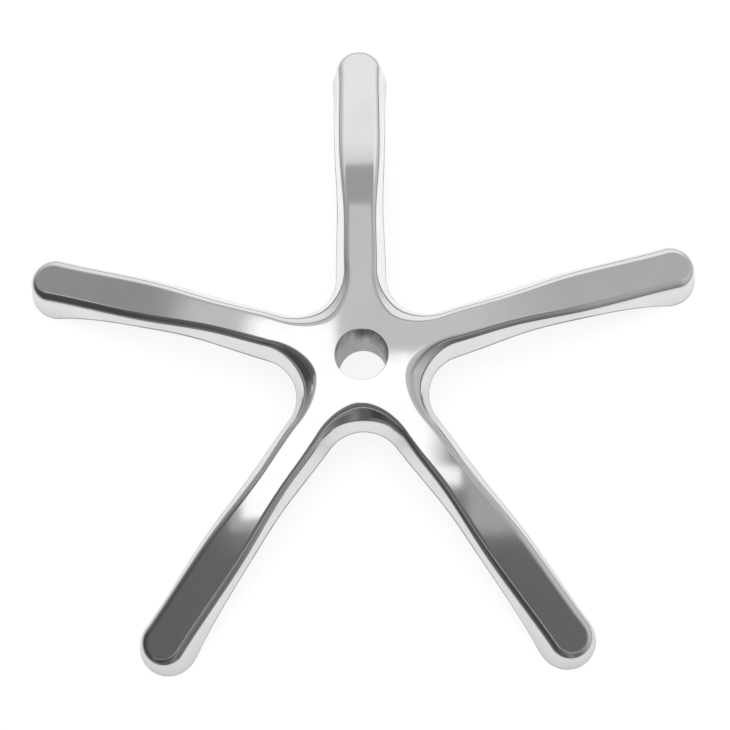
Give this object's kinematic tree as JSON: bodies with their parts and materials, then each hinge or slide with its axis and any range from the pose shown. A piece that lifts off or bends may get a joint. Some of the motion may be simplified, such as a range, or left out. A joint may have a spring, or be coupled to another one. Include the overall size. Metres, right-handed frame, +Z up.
{
  "type": "chair base",
  "caption": "Star-shaped swivel chair base, a polished casting with arched arms, rounded feet with castor sockets, and a tapered bore through the hub.",
  "frame": {"origin": "centre of the bore's mouth on top of the hub", "axes": "+Z up along the bore's axis, +Y along one arm"},
  "size_m": [0.6682, 0.6382, 0.092],
  "materials": {
    "polished_casting": "mirror polished on top and sides, as cast underneath"
  },
  "bodies": {
    "root": {"star_base": "polished_casting"}
  },
  "joints": []
}
